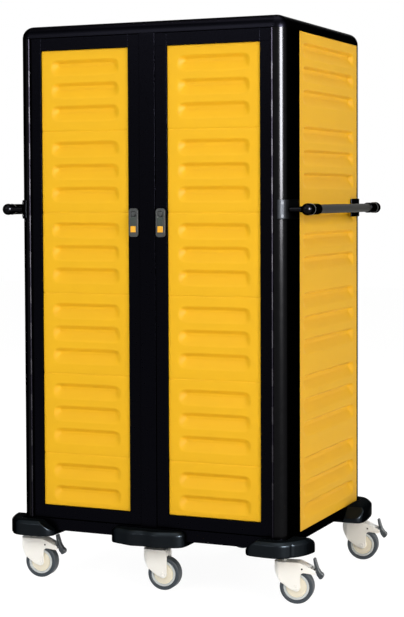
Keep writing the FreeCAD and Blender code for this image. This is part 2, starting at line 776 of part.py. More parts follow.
def handle_fitting():
    """Front end fitting: ball, sleeve that takes the tube, and neck to the clamp."""
    ball = Part.makeSphere(BALL_R, Vector(TUBE_X, -BALL_Y, TUBE_Z))
    sleeve = rod((TUBE_X, -BALL_Y, TUBE_Z), (0, 1, 0), COLLAR_R, BALL_Y - TUBE_HALF)
    start = SIDE_X + SEAT + CLAMP_T
    neck = rod((start, -BALL_Y, TUBE_Z), (1, 0, 0), NECK_R, TUBE_X - start)
    return ball.multiFuse([sleeve, neck])


def handle_clamp():
    """Strap that wraps the corner post, with a boss for the neck."""
    cx = POST_IN_X
    cy = -POST_IN_Y
    r_in = POST_R + SEAT
    r_out = r_in + CLAMP_T
    a = -CLAMP_SWEEP
    steps = [
        arc_point(cx, cy, r_in, a),
        arc_point(cx, cy, r_out, a),
        (arc_point(cx, cy, r_out, a / 2), (cx + r_out, cy)),
        (cx + r_out, cy + CLAMP_TAIL),
        (cx + r_in, cy + CLAMP_TAIL),
        (cx + r_in, cy),
        (arc_point(cx, cy, r_in, a / 2), arc_point(cx, cy, r_in, a)),
    ]
    return plan(steps, TUBE_Z - CLAMP_H / 2, TUBE_Z + CLAMP_H / 2)


def handle_screws():
    """Two screw heads on each clamp."""
    cx = POST_IN_X
    cy = -POST_IN_Y
    angle = -50.0
    start = arc_point(cx, cy, POST_R + SEAT + CLAMP_T + 0.1, angle)
    direction = arc_point(0, 0, 1, angle)
    heads = []
    for side in (-1, 1):
        z = TUBE_Z + side * SCREW_APART / 2
        heads.append(rod((start[0], start[1], z), (direction[0], direction[1], 0), SCREW_R, SCREW_T))
    screws = []
    for head in heads:
        screws += four_corners(head)
    return Part.makeCompound(screws)


# casters: made with the swivel line on the origin and the wheel trailing towards +X
def fork_profile(brake):
    u = TRAIL
    z = WHEEL_R
    top = CROWN_Z
    low = arc_point(PEDAL_PIVOT_U, PEDAL_PIVOT_Z, ARM_R, -80)
    arm = [
        (-NOSE, top),
        (u + CROWN_BACK, top),
        arc_point(PEDAL_PIVOT_U, PEDAL_PIVOT_Z, ARM_R, 64),
        (arc_point(PEDAL_PIVOT_U, PEDAL_PIVOT_Z, ARM_R, -8), low),
        (u + ARCH_L, ARM_FOOT_Z),
        ((u + LEG_R * 1.25, (LEG_TOP_Z + 2 * ARM_FOOT_Z) / 3), (u + LEG_R, LEG_TOP_Z)),
    ]
    plain = [(-NOSE, top), (u + CROWN_BACK, top), (u + LEG_R, top - CROWN_BACK)]
    foot = arc_point(u, z, LEG_R, -45)
    leg = [(u + LEG_R, z), (foot, (u, z - LEG_R))]
    cheek = [(u - back, z + up) for back, up in CHEEK]
    steps = (arm if brake else plain) + leg + cheek
    return profile_along_y(steps, -FORK_W / 2, FORK_W / 2)


def fork(brake):
    """Moulded fork: a round-nosed hood round the swivel line, two legs and the axle between them."""
    half = FORK_W / 2
    far = 4 * NOSE
    hood = plan([(0, half), ((-NOSE, 0), (0, -half)), (far, -half), (far, half)], 0, CROWN_Z + 1)
    body = fork_profile(brake).common(hood)
    gap = half - FORK_ARM_T
    clear = WHEEL_R + TYRE_CLEAR
    room = box(TRAIL - clear, TRAIL + ARCH_L, -gap, gap, 0, WHEEL_R + clear)
    under = box(TRAIL + ARCH_L - 1, ARM_OPEN_U + 1, -gap, gap, 0, ARM_FOOT_Z + FORK_ARM_T)
    ahead = box(ARM_OPEN_U, far, -gap, gap, 0, CROWN_Z + 1)
    body = body.cut([room, under, ahead])
    body = body.cut(rod((0, 0, CROWN_Z - STEM_IN), (0, 0, 1), STEM_R + AXLE_FIT, STEM_IN + 1))
    axle = rod((TRAIL, -gap - 1, WHEEL_R), (0, 1, 0), AXLE_R, 2 * gap + 2)
    body = body.fuse(axle)
    if brake:
        pin = rod((PEDAL_PIVOT_U, -gap - 1, PEDAL_PIVOT_Z), (0, 1, 0), PEDAL_PIN_R, 2 * gap + 2)
        body = body.fuse(pin)
    return body


def wheel_tyre():
    """Tread with rounded shoulders round the ring."""
    half = WHEEL_W / 2
    r = WHEEL_R
    steps = [
        (-half, RING_R),
        (-half, r - SHOULDER),
        (-half + SHOULDER, r),
        (half - SHOULDER, r),
        (half, r - SHOULDER),
        (half, RING_R),
    ]
    return revolve_wheel(steps)


def wheel_hub():
    """Ring that holds the tyre, with a sunk disc and a boss round the axle."""
    half = WHEEL_W / 2
    boss = HUB_W / 2
    bore = AXLE_R + AXLE_FIT
    face = half - DISC_SINK
    steps = [
        (-boss, bore),
        (-boss, bore + BOSS_T),
        (-face, bore + 2 * BOSS_T),
        (-face, DISC_R),
        (-half, RING_R),
        (half, RING_R),
        (face, DISC_R),
        (face, bore + 2 * BOSS_T),
        (boss, bore + BOSS_T),
        (boss, bore),
    ]
    return revolve_wheel(steps)


def revolve_wheel(steps):
    wire = outline(steps, lambda along, radius: Vector(TRAIL, along, WHEEL_R + radius))
    return Part.Face(wire).revolve(Vector(TRAIL, 0, WHEEL_R), Vector(0, 1, 0), 360)


def brake_pedal():
    """Rocker pedal on a pin through the fork's arms."""
    u = PEDAL_PIVOT_U
    z = PEDAL_PIVOT_Z
    half = FORK_W / 2 - FORK_ARM_T - LATCH_FIT
    front = [(u + du, z + dz) for du, dz in PEDAL_FRONT]
    lobe = [tuple((u + du, z + dz) for du, dz in PEDAL_LOBE)]
    back = [(u + du, z + dz) for du, dz in PEDAL_BACK]
    lever = profile_along_y(front + lobe + back, -PEDAL_W / 2, PEDAL_W / 2)
    eye = rod((u, -half, z), (0, 1, 0), 2 * PEDAL_PIN_R, 2 * half)
    lever = lever.fuse(eye)
    return lever.cut(rod((u, -half - 1, z), (0, 1, 0), PEDAL_PIN_R + AXLE_FIT, 2 * half + 2))


def place_caster(shape, side_x, side_y, swing):
    return moved(turned(shape, swing), side_x * CASTER_X, CASTER_Y[side_y], 0)


def caster_stems():
    """Stem and top plate of each caster, bolted up under the chassis tubes."""
    stems = []
    plate_top = SIDE_SILL_FOOT_Z - RAIL_TUBE_H
    foot = CROWN_Z - STEM_IN + 0.5
    half = CASTER_PLATE / 2
    for name, side_x, side_y, swing, brake in CASTERS:
        x = side_x * CASTER_X
        y = CASTER_Y[side_y]
        stem = rod((x, y, foot), (0, 0, 1), STEM_R, plate_top - foot)
        plate_x = side_x * RAIL_TUBE_X
        plate = box(plate_x - half, plate_x + half, y - half, y + half, plate_top - CASTER_PLATE_T, plate_top)
        stems.append(stem.fuse(plate))
    return Part.makeCompound(stems)


def hinge_fixed_leaves():
    """Leaf on the post with the other knuckles, and the pins that carry the door at its two ends."""
    leaf = box(HINGE_X + LEAF_GAP, POST_IN_X, HINGE_Y, HINGE_Y + LEAF_W, DOOR_FOOT_Z, DOOR_TOP_Z)
    leaf = leaf.cut([barrel_room(z, z + KNUCKLE_L) for z in knuckle_feet()])
    knuckles = [knuckle(z0, z1) for z0, z1 in fixed_knuckle_spans()]
    return leaf.multiFuse(knuckles + hinge_pins(0))


def parts():
    shapes = {
        "base_frame": base_frame(),
        "chassis_tubes": chassis_tubes(),
        "floor_panel": floor_panel(),
        "corner_posts": corner_posts(),
        "front_mullion": front_mullion(),
        "rear_mullion": rear_mullion(),
        "centre_divider": centre_divider(),
        "tray_runners": tray_runners(),
        "side_panel_right": side_panel_right(),
        "rear_panels": rear_panels(),
        "top_rails": top_rails(),
        "top_corner_caps": top_corner_caps(),
        "roof": roof(),
        "corner_bumpers": corner_bumpers(),
        "middle_bumpers": middle_bumpers(),
        "caster_stems": caster_stems(),
        "handle_screws": handle_screws(),
        "handle_clamps": Part.makeCompound(four_corners(handle_clamp())),
        "handle_fittings": Part.makeCompound(four_corners(handle_fitting())),
        "handle_tubes": Part.makeCompound([handle_tube(), mirror_x(handle_tube())]),
    }
    shapes["side_panel_left"] = mirror_x(shapes["side_panel_right"])
    door = {
        "door_{}_frame": door_frame(),
        "door_{}_corners": door_corners(),
        "door_{}_panel": door_panel(),
        "door_{}_hinge_leaf": door_hinge_leaf(),
        "latch_{}_body": latch_body(),
        "latch_{}_lever": latch_lever(),
        "latch_{}_button": latch_button(),
    }
    for name, shape in door.items():
        shapes[name.format("right")] = shape
        shapes[name.format("left")] = mirror_x(shape)
    fixed = hinge_fixed_leaves()
    shapes["hinge_fixed_leaves"] = Part.makeCompound([fixed, mirror_x(fixed)])
    plain = {"fork": fork(False), "hub": wheel_hub(), "tyre": wheel_tyre()}
    braked = {"fork": fork(True), "hub": wheel_hub(), "tyre": wheel_tyre(), "pedal": brake_pedal()}
    for name, side_x, side_y, swing, brake in CASTERS:
        for piece, shape in (braked if brake else plain).items():
            shapes["caster_" + name + "_" + piece] = place_caster(shape, side_x, side_y, swing)
    return shapes


def main():
    os.makedirs("parts", exist_ok=True)
    shapes = parts()
    bounds = Part.makeCompound(list(shapes.values())).BoundBox
    # the braked casters reach farther on the right, so the origin moves under the middle of the outline
    shift = -(bounds.XMin + bounds.XMax) / 2
    for name, shape in shapes.items():
        moved(shape, shift, 0, 0).exportStep("parts/" + name + ".step")
    print("shift", round(shift, 4), "box", bounds)


main()
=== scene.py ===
import json
import math

import bmesh
import bpy
from bpy.props import FloatProperty, FloatVectorProperty, PointerProperty
from mathutils import Matrix, Vector


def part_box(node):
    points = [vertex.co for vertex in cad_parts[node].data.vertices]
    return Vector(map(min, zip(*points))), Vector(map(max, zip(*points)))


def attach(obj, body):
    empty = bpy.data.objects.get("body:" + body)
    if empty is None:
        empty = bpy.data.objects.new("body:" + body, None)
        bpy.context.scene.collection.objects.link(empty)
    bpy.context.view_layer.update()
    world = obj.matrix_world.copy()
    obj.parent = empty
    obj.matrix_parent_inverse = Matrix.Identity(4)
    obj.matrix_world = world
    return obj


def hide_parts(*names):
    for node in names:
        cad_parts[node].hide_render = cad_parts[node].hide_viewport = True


bl_info = {
    "name": "Enclosed meal tray cart",
    "version": (1, 0, 0),
    "blender": (4, 5, 0),
    "location": "3D View > Sidebar > Tray cart",
    "description": "Dresses the frame of an enclosed meal tray cart and sets its studio",
    "category": "Object",
}

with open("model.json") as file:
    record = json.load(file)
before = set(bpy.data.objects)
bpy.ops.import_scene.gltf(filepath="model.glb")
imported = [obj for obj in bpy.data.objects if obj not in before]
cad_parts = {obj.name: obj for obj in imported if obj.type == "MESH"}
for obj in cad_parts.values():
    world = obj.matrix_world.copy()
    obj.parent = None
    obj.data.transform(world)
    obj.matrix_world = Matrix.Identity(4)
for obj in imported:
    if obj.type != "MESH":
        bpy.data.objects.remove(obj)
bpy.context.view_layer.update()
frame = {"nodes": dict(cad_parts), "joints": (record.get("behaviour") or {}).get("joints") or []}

CASTERS = ("fl", "fm", "fr", "rl", "rm", "rr")
BRAKED = ("fl", "fr", "rl", "rr")
SIDES = ("left", "right")

WHITE = (1.0, 1.0, 1.0, 1.0)
BLACK = (0.0, 0.0, 0.0, 1.0)


def linear(hex_colour):
    """Linear colour with alpha from an sRGB hex value."""
    channels = [int(hex_colour[i : i + 2], 16) / 255 for i in (1, 3, 5)]
    straight = [c / 12.92 if c <= 0.04045 else ((c + 0.055) / 1.055) ** 2.4 for c in channels]
    return (*straight, 1.0)


def colour(hex_colour, name, description):
    """A colour that can be set in the sidebar."""
    return FloatVectorProperty(
        name=name, description=description, subtype="COLOR", size=4, min=0, max=1, default=linear(hex_colour)
    )


def length(metres, name, description):
    """A length that can be set in the sidebar."""
    return FloatProperty(
        name=name, description=description, default=metres, min=0, unit="LENGTH", precision=4
    )


class CartColours(bpy.types.PropertyGroup):
    """Base colours of the finishes"""

    panel: colour("#EBB51B", "Panels", "Moulded panels of the doors and walls")
    liner: colour("#EBA928", "Liner", "Tray runners and divider inside")
    posts: colour("#131314", "Posts", "Reflection of the gloss black posts")
    trim: colour("#08080C", "Trim", "Reflection of the black door frames and sills")
    corner: colour("#09090D", "Corners", "Moulded corners and rails of the top")
    bumper: colour("#16191C", "Bumpers", "Moulded bumper pads")
    shroud: colour("#FFFFFB", "Casters", "Moulded caster forks")
    disc: colour("#F2ECDA", "Wheel discs", "Moulded wheel centres")
    ring: colour("#CDD3D5", "Wheel rings", "Pale rings that hold the tyres")
    tyre: colour("#3A424A", "Tyres", "Treads of the wheels")
    pedal: colour("#353B41", "Pedals", "Brake pedals")
    grip: colour("#2A2B29", "Push bars", "Coated tubes of the push handles")
    latch: colour("#3E4142", "Latches", "Latch housings")
    lever: colour("#39413D", "Levers", "Flip levers of the latches")
    button: colour("#F8B32A", "Buttons", "Push buttons of the latches")


class CartSizes(bpy.types.PropertyGroup):
    """Sizes of the forms that the operators model"""

    module: length(0.25, "Module", "Height of one moulded panel module")
    rib_pitch: length(0.07, "Rib pitch", "Height from one pressed rib to the next")
    rib_height: length(0.046, "Rib height", "Height of a rib's mouth")
    rib_depth: length(0.014, "Rib depth", "How far a rib of the walls is pressed in")
    rib_end: length(0.034, "Rib end", "Plain strip beside a rib")
    rib_turn: length(0.033, "Rib turn", "Length of the rounding at a rib's end")
    rib_lip: length(0.004, "Rib lip", "Rounding into a rib's mouth")
    rib_slope: length(0.018, "Rib slope", "Width of a rib's soft end")
    rib_floor: length(0.026, "Rib floor", "Height of the slope from a rib's foot to its deepest strip")
    rib_brow: length(0.006, "Rib brow", "Height of the steep upper wall of a rib of the walls")
    door_rib_depth: length(0.0122, "Door rib depth", "How far a door's rib is pressed in")
    door_rib_brow: length(0.008, "Door rib brow", "Height of the steep upper wall of a door's rib")
    rear_gap: length(0.051, "Rear gap", "Distance between the two rear panels")
    seam: length(0.0011, "Seam", "Half the width of the line between two modules of a door")
    seam_depth: length(0.003, "Seam depth", "Depth of the line between two modules of a door")
    panel_edge: length(0.0025, "Panel edge", "Rounding round a panel")
    lobe_root: length(0.09, "Lobe root", "Length of a corner bumper's lobe along the front and back")
    lobe_cut: length(0.024, "Lobe cut", "How much that lobe is drawn in at its tip")
    tyre_radius: length(0.05, "Tyre radius", "Outer radius of a wheel")
    tyre_width: length(0.032, "Tyre width", "Width of a wheel")
    tyre_shoulder: length(0.006, "Tyre shoulder", "Rounding of the tread's shoulders")
    ring_radius: length(0.0385, "Ring radius", "Where the tyre starts")
    ring_width: length(0.0072, "Ring width", "Width of the pale ring")
    disc_radius: length(0.0295, "Disc radius", "Radius of the cream disc")
    boss_radius: length(0.0105, "Boss radius", "Radius of the boss round the axle")
    axle_hole: length(0.0052, "Axle hole", "Radius of the hub's bore")
    fork_half: length(0.023, "Half fork", "Distance of a fork's cheek from the middle of its wheel")
    # a thin dark disc on the cheek stands in for this hole: painted shade
    hole_shade_radius: length(0.0024, "Stop hole", "Radius of the dark hole in a braked fork's cheek")
    hole_behind: length(0.018, "Hole behind", "Distance of that hole behind the axle")
    hole_above: length(0.055, "Hole above", "Height of that hole above the axle")
    axle_head: length(0.0072, "Axle head", "Radius of the axle's domed head on a fork")
    tube_radius: length(0.0135, "Bar radius", "Radius of the push bars")
    sleeve_radius: length(0.0176, "Sleeve ring radius", "Outer radius of the pale ring round a sleeve")
    sleeve_seam: length(0.0016, "Sleeve ring width", "Width of the pale ring round a sleeve")
    seam_at: length(0.2985, "Sleeve ring place", "Distance of the pale ring from the middle of the bar")


# materials
PATCH = 0.125  # metres between the soft patches of a moulding's mottling
MOULDED_PLAY = 0.05  # how far the roughness of a moulding wanders to each side
METALLIC_PLAY = 0.03  # the same for metal and gloss coats
EDGE_SAMPLES = 4
SHEEN_FROM, SHEEN_AT = 0.5, 0.98  # how far up a surface faces where its painted sheen starts, and where it is full


def add_node(tree, kind, settings=(), **inputs):
    """A shader node with its settings, and its inputs set or linked. i0 is the first input."""
    node = tree.nodes.new(kind)
    for name, value in dict(settings).items():
        setattr(node, name, value)
    for name, value in inputs.items():
        numbered = name[0] == "i" and name[1:].isdigit()
        socket = node.inputs[int(name[1:]) if numbered else name.replace("_", " ")]
        if isinstance(value, bpy.types.NodeSocket):
            tree.links.new(value, socket)
        else:
            socket.default_value = value
    return node


def new_material(name):
    """An empty node material, and its tree to fill."""
    material = bpy.data.materials.new(name)
    material.use_nodes = True
    tree = material.node_tree
    tree.nodes.clear()
    return material, tree


def shades(base, spread):
    """The base colour, darker and lighter by the spread."""
    dark = tuple(c * (1 - spread) for c in base[:3]) + (1.0,)
    light = tuple(min(1, c * (1 + spread)) for c in base[:3]) + (1.0,)
    return dark, light


def moulded(name, base, rough, fleck, relief, cell, specular, softened=0.0):
    """A moulded or coated skin: slight mottling, a fine relief that breaks up its shine, softened edges."""
    material, tree = new_material(name)
    dark, light = shades(base, fleck)
    place = add_node(tree, "ShaderNodeTexCoord").outputs["Object"]
    cloud = add_node(tree, "ShaderNodeTexNoise", Vector=place, Scale=1 / PATCH, Detail=2.0)
    fine = add_node(tree, "ShaderNodeTexNoise", Vector=place, Scale=1 / cell, Detail=2.0)
    tint = add_node(tree, "ShaderNodeMix", {"data_type": "RGBA"}, i0=cloud.outputs[0], i6=dark, i7=light)
    least, most = rough - MOULDED_PLAY, rough + MOULDED_PLAY
    shine = add_node(tree, "ShaderNodeMapRange", i0=fine.outputs[0], i3=least, i4=most)
    bump = add_node(tree, "ShaderNodeBump", Strength=1.0, Distance=relief, Height=fine.outputs[0])
    if softened:
        edge = add_node(tree, "ShaderNodeBevel", {"samples": EDGE_SAMPLES}, Radius=softened)
        tree.links.new(edge.outputs[0], bump.inputs["Normal"])
    shader = add_node(
        tree,
        "ShaderNodeBsdfPrincipled",
        Base_Color=tint.outputs[2],
        Roughness=shine.outputs[0],
        Specular_IOR_Level=specular,
        Normal=bump.outputs[0],
    )
    add_node(tree, "ShaderNodeOutputMaterial", Surface=shader.outputs[0])
    return material


def metallic(name, base, rough, spread, cell, rim=WHITE, softened=0.0, top_sheen=None):
    """Metal or a hard gloss black with a faint cloudy grain. Rim tints it at a slant, and a painted sheen
    makes what faces up paler.
    """
    material, tree = new_material(name)
    dark, light = shades(base, spread)
    place = add_node(tree, "ShaderNodeTexCoord").outputs["Object"]
    cloud = add_node(tree, "ShaderNodeTexNoise", Vector=place, Scale=1 / cell, Detail=4.0).outputs[0]
    tint = add_node(tree, "ShaderNodeMix", {"data_type": "RGBA"}, i0=cloud, i6=dark, i7=light).outputs[2]
    # painted sheen: what faces up is mixed towards a paler colour, standing in for light falling on the tops
    if top_sheen:
        facing = add_node(tree, "ShaderNodeNewGeometry").outputs["Normal"]
        upward = add_node(tree, "ShaderNodeSeparateXYZ", Vector=facing).outputs["Z"]
        painted_sheen = add_node(tree, "ShaderNodeMapRange", i0=upward, i1=SHEEN_FROM, i2=SHEEN_AT).outputs[0]
        tint = add_node(tree, "ShaderNodeMix", {"data_type": "RGBA"}, i0=painted_sheen, i6=tint, i7=top_sheen).outputs[2]
    least, most = rough - METALLIC_PLAY, rough + METALLIC_PLAY
    shine = add_node(tree, "ShaderNodeMapRange", i0=cloud, i3=least, i4=most)
    shader = add_node(
        tree,
        "ShaderNodeBsdfPrincipled",
        Base_Color=tint,
        Metallic=1.0,
        Roughness=shine.outputs[0],
        Specular_Tint=rim,
    )
    if softened:
        edge = add_node(tree, "ShaderNodeBevel", {"samples": EDGE_SAMPLES}, Radius=softened)
        tree.links.new(edge.outputs[0], shader.inputs["Normal"])
    add_node(tree, "ShaderNodeOutputMaterial", Surface=shader.outputs[0])
    return material


def make_materials():
    """All finishes by name. Blacks have a black rim, because the white surround turns a pale one grey.

    The numbers of moulded are its roughness, mottling, relief, grain size, specular and softened edge, those
    of metallic its roughness, the contrast and size of its grain, and after the rim its softened edge. Sizes
    are in metres. A grain too fine to show is drawn as coarse as it needs to show, at 2 mm and more.
    """
    c = bpy.context.scene.cart_colours
    # colours of the painted sheen, standing in for light, that makes what faces up paler on the top's
    # mouldings and on the bumpers
    painted_sheen, bumper_painted_sheen = linear("#2B2A2E"), linear("#24292C")
    return {
        # blow-moulded polyethylene, dyed through: satin, and its forms run softly into each other
        "panel": moulded("satin moulded polyethylene", c.panel, 0.55, 0.02, 0.00008, 0.006, 0.11),
        # the same plastic inside: a little glossier, with soft edges on the thin runners
        "liner": moulded("moulded polyethylene liner", c.liner, 0.5, 0.03, 0.0001, 0.006, 0.3, 0.002),
        # black anodised aluminium tube: mirrors the lamps in a narrow white line and stays black beside it
        "post": metallic("gloss black anodised aluminium", c.posts, 0.2, 0.08, 0.02, BLACK, 0.0012),
        # the same coat on flat bars: black, with a thin glint along each edge
        "trim": metallic("satin black anodised aluminium", c.trim, 0.28, 0.1, 0.01, BLACK, 0.0015),
        # nylon mouldings of the top: deep black, with a painted grey sheen on what faces up, standing in for
        # light on the tops
        "corner": metallic("black moulded nylon", c.corner, 0.3, 0.08, 0.004, BLACK, 0.0015, painted_sheen),
        # rubbery polymer: black and softly shining, with a painted charcoal sheen on what faces up, standing
        # in for light on its tops
        "bumper": metallic("polished bumper polymer", c.bumper, 0.33, 0.08, 0.003, BLACK, 0.0, bumper_painted_sheen),
        # white nylon: smooth, and nearly as bright as the background
        "shroud": moulded("white moulded nylon", c.shroud, 0.34, 0.015, 0.00005, 0.005, 0.3),
        # cream polypropylene disc: warmer and duller than the fork in front of it
        "disc": moulded("cream polypropylene", c.disc, 0.38, 0.02, 0.00005, 0.004, 0.3),
        # pale grey ring: a cool line between the disc and the tyre
        "ring": moulded("pale grey polypropylene", c.ring, 0.36, 0.02, 0.00005, 0.004, 0.3),
        # soft rubber tread: slate grey, matt and slightly grained
        "tyre": moulded("slate thermoplastic rubber", c.tyre, 0.5, 0.06, 0.0001, 0.002, 0.25),
        # glass-filled nylon: dark grey with a broad dull shine along its bends
        "pedal": moulded("grey moulded nylon", c.pedal, 0.4, 0.05, 0.00006, 0.003, 0.3),
        # coated steel tube: an even dark grey with a narrow lighter line along its top
        "grip": moulded("satin grey coated tube", c.grip, 0.45, 0.04, 0.00004, 0.003, 0.03),
        # hard black moulding at each end of a bar: black with a small bright spot
        "fitting": metallic("black moulded fitting", linear("#101012"), 0.26, 0.08, 0.004, BLACK),
        # thin paler ring round the grip's sleeve: painted highlight along its seam
        "seam": moulded("sleeve seam highlight", linear("#55585A"), 0.3, 0.05, 0.00003, 0.003, 0.5),
        # die-cast and coated: black with a grey gleam where it bends round the post
        "clamp": metallic("cast black-coated clamp", linear("#151618"), 0.34, 0.12, 0.003, BLACK),
        # moulded housing: mid grey, so that it stands out from the black door frame
        "latch": moulded("grey latch housing", c.latch, 0.36, 0.04, 0.00005, 0.002, 0.3),
        # lever of the same nylon, handled often: a little darker, with a fine soft edge
        "lever": moulded("dark latch lever", c.lever, 0.4, 0.05, 0.00005, 0.002, 0.25, 0.0005),
        # small glossy button: the panels' yellow, more orange, with rounded corners
        "button": moulded("yellow push button", c.button, 0.32, 0.02, 0.00003, 0.002, 0.4, 0.0008),
        # oxidised steel screws: dark heads that catch a little light at a slant
        "screw": metallic("blackened steel", linear("#1D1E20"), 0.36, 0.1, 0.002),
        # the door's hinge leaf in the dark gap beside the post: a little paler than the post's leaf, so that
        # it shows as a thin dull line
        "hinge": metallic("paler hinge leaf", linear("#19181B"), 0.38, 0.1, 0.003, BLACK),
        # the leaf on the post: darker still, so that the knuckles alternate
        "hinge_dark": metallic("black hinge leaf", linear("#0E0D11"), 0.38, 0.1, 0.003, BLACK),
        # pressed floor pan: plain grey, seen only through an open door
        "floor": moulded("grey floor pan", linear("#4C4F50"), 0.45, 0.05, 0.0001, 0.004, 0.3),
    }


NODE_FINISH = {
    "base_frame": "trim",
    "chassis_tubes": "trim",
    "floor_panel": "floor",
    "corner_posts": "post",
    "front_mullion": "trim",
    "rear_mullion": "trim",
    "centre_divider": "liner",
    "tray_runners": "liner",
    "side_panel_left": "panel",
    "side_panel_right": "panel",
    "rear_panels": "panel",
    "top_rails": "corner",
    "top_corner_caps": "corner",
    "roof": "corner",
    "corner_bumpers": "bumper",
    "middle_bumpers": "bumper",
    "caster_stems": "shroud",
    "handle_screws": "screw",
    "handle_clamps": "clamp",
    "handle_fittings": "fitting",
    "handle_tubes": "grip",
    "hinge_fixed_leaves": "hinge_dark",
}
DOOR_FINISH = {
    "door_{}_frame": "trim",
    "door_{}_corners": "trim",
    "door_{}_panel": "panel",
    "door_{}_hinge_leaf": "hinge",
    "latch_{}_body": "latch",
    "latch_{}_lever": "lever",
    "latch_{}_button": "button",
}
CASTER_FINISH = {"fork": "shroud", "hub": "disc", "tyre": "tyre", "pedal": "pedal"}

materials = {}


def paint(obj, finish):
    """Gives obj this finish alone."""
    obj.data.materials.clear()
    obj.data.materials.append(materials[finish])


class CART_OT_finishes(bpy.types.Operator):
    """Makes the materials and gives each piece of the frame its own"""

    bl_idname = "cart.finishes"
    bl_label = "Finishes"

    def execute(self, context):
        materials.update(make_materials())
        nodes = frame["nodes"]
        for name, finish in NODE_FINISH.items():
            paint(nodes[name], finish)
        for pattern, finish in DOOR_FINISH.items():
            for side in SIDES:
                paint(nodes[pattern.format(side)], finish)
        for caster in CASTERS:
            for piece, finish in CASTER_FINISH.items():
                name = f"caster_{caster}_{piece}"
                if name in nodes:
                    paint(nodes[name], finish)
        return {"FINISHED"}


# shaping
NEAR = 1e-4  # metres within which a vertex counts as lying at a level
WELD = 0.00001  # metres within which the loose triangles of a node join
MODULE_WELD = 0.0004  # metres within which one rib or module joins the next
# how each moulded finish is rounded: voxel in metres, rounds of smoothing, share of the faces kept
CASTS = {
    "bumper": (0.0022, 10, 0.5),
    "shroud": (0.0012, 6, 0.6),
    "pedal": (0.0009, 6, 0.5),
    "fitting": (0.0014, 5, 0.6),
    "clamp": (0.0012, 3, 0.6),
    "latch": (0.00045, 2, 0.3),
    "button": (0.0005, 2, 0.3),
}


def only(*objs):
    """Leaves these objects alone selected, the first of them active."""
    for other in bpy.context.selected_objects:
        other.select_set(False)
    for obj in objs:
        obj.select_set(True)
    if objs:
        bpy.context.view_layer.objects.active = objs[0]


def joined(first, *others):
    """The pieces as one object, the first."""
    only(first, *others)
    bpy.ops.object.join()
    return first


def pick(obj, kind, test):
    """Selects, in edit mode, the verts, edges or faces that pass the test."""
    bpy.ops.mesh.select_mode(type=kind)
    bpy.ops.mesh.select_all(action="DESELECT")
    shape = bmesh.from_edit_mesh(obj.data)
    for item in {"VERT": shape.verts, "EDGE": shape.edges, "FACE": shape.faces}[kind]:
        if test(item):
            item.select_set(True)
    shape.select_flush_mode()
    bmesh.update_edit_mesh(obj.data)


def at_level(level):
    """A test for edges that lie at this height."""
    return lambda edge: all(abs(vert.co.z - level) < NEAR for vert in edge.verts)


def modify(obj, kind, **settings):
    """Adds a modifier, sets it and applies it."""
    only(obj)
    modifier = obj.modifiers.new(kind.title(), kind)
    for name, value in settings.items():
        setattr(modifier, name, value)
    bpy.ops.object.modifier_apply(modifier=modifier.name)


def rounded(obj, width, segments, degrees, **settings):
    """Rounds the edges that turn by more than this many degrees."""
    turn = math.radians(degrees)
    modify(obj, "BEVEL", width=width, segments=segments, limit_method="ANGLE", angle_limit=turn, **settings)


def smooth_below(obj, degrees):
    """Shades obj smooth, apart from edges that turn by more than this many degrees."""
    only(obj)
    bpy.ops.object.shade_smooth_by_angle(angle=math.radians(degrees))


def settle(obj, name, finish, body, slot, *nodes):
    """Names a finished piece, gives it its finish and has it ride and stand for its nodes."""
    only(obj)
    bpy.ops.object.transform_apply(location=True, rotation=True, scale=True)
    obj.name = name
    obj.data.name = name
    if finish:
        paint(obj, finish)
    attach(obj, body)
    if nodes:
        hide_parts(*nodes)


def copy_at(obj, turn, place):
    """A copy with its own mesh, turned about the vertical and set at its place."""
    twin = obj.copy()
    twin.data = obj.data.copy()
    bpy.context.scene.collection.objects.link(twin)
    twin.data.transform(Matrix.Translation(place) @ Matrix.Rotation(turn, 4, "Z"))
    return twin


def merged_copy(node):
    """The node's shape with its loose triangles joined."""
    source = frame["nodes"][node]
    piece = bpy.data.objects.new(node + "_copy", source.data.copy())
    bpy.context.scene.collection.objects.link(piece)
    only(piece)
    bpy.ops.object.mode_set(mode="EDIT")
    bpy.ops.mesh.select_all(action="SELECT")
    bpy.ops.mesh.remove_doubles(threshold=WELD)
    bpy.ops.object.mode_set(mode="OBJECT")
    return piece


def cast(piece, finish):
    """Rounds every edge of a closed piece, as its mould does."""
    voxel, rounds, kept = CASTS[finish]
    modify(piece, "REMESH", mode="VOXEL", voxel_size=voxel)
    modify(piece, "SMOOTH", factor=0.5, iterations=rounds)
    modify(piece, "DECIMATE", ratio=kept)
    only(piece)
    bpy.ops.object.shade_smooth()
    return piece


def recast(node, name, finish, body, slot):
    """Models a node again with every edge rounded, and has that stand for it."""
    settle(cast(merged_copy(node), finish), name, finish, body, slot, node)


# ribbed panels: made in the XZ plane with the lower left corner at the origin, facing -Y
RIBS = 3  # to a module
RIB_HEEL = 0.003  # metres of a rib's deepest strip that stay level round it
SLIVER = 0.001  # less than this at a panel's foot isn't a module of its own


